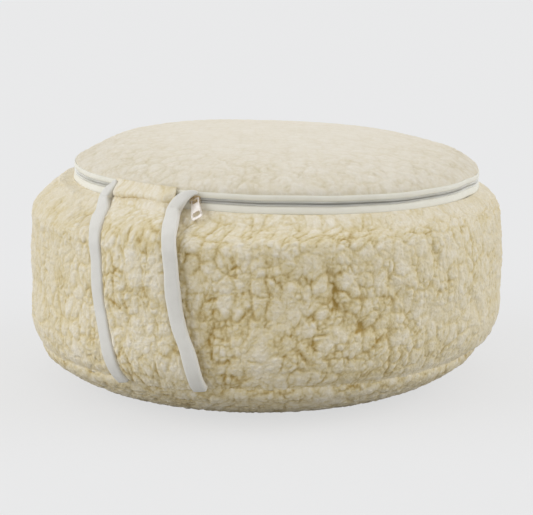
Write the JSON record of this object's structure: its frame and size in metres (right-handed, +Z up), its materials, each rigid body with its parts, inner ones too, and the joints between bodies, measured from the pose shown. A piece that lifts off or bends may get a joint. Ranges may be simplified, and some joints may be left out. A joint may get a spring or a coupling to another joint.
{
  "type": "pet cushion bed",
  "caption": "Round drum-shaped fleece pet cushion with a zipped domed top, a bound closure flap over the zip ends, and a fibre-filled insert.",
  "frame": {"origin": "on the floor, under the middle of the belly", "axes": "+Z up, -Y towards the front of the bed, where the closure flap is left of centre"},
  "size_m": [0.4621, 0.4637, 0.2432],
  "materials": {
    "sherpa_fleece": "matte",
    "binding_tape": "satin",
    "zip_tape": "matte",
    "nylon_coil": "satin",
    "lacquered_metal": "gloss",
    "stop_metal": "satin",
    "insert_cotton": "matte",
    "fibre_fill": "matte"
  },
  "bodies": {
    "cover": {"side_band": "sherpa_fleece", "closure_panel": "sherpa_fleece", "panel_binding_right": "binding_tape", "panel_binding_left": "binding_tape", "bottom_panel": "sherpa_fleece", "zip_tape_lower": "zip_tape", "zip_coil_lower": "nylon_coil", "zip_top_stop_lower": "stop_metal", "zip_bottom_stop": "stop_metal", "insert_top_panel": "insert_cotton", "insert_side_band": "insert_cotton", "insert_bottom_panel": "insert_cotton", "insert_fill": "fibre_fill"},
    "lid": {"top_panel": "sherpa_fleece", "zip_tape_upper": "zip_tape", "zip_coil_upper": "nylon_coil", "zip_top_stop_upper": "stop_metal"},
    "slider": {"zip_slider_body": "lacquered_metal", "zip_slider_bridge": "lacquered_metal"},
    "pull": {"zip_pull_tab": "lacquered_metal"}
  },
  "joints": [
    {"name": "slider_travel", "type": "hinge", "parent": "cover", "child": "slider", "pos_m": [0.01, 0, 0.2015], "axis": [0.0236, -0.0281, 0.9993], "range_deg": [0, 328]},
    {"name": "lid_fold", "type": "hinge", "parent": "cover", "child": "lid", "pos_m": [-0.10192, -0.16315, 0.20541], "axis": [0.8237, -0.5659, -0.0353], "range_deg": [0, 110], "deforming": ["zip_tape_upper", "zip_coil_upper"]},
    {"name": "pull_lift", "type": "hinge", "parent": "slider", "child": "pull", "pos_m": [-0.0613, -0.1848, 0.19829], "axis": [-0.8189, 0.3268, -0.4719], "range_deg": [0, 55]}
  ]
}
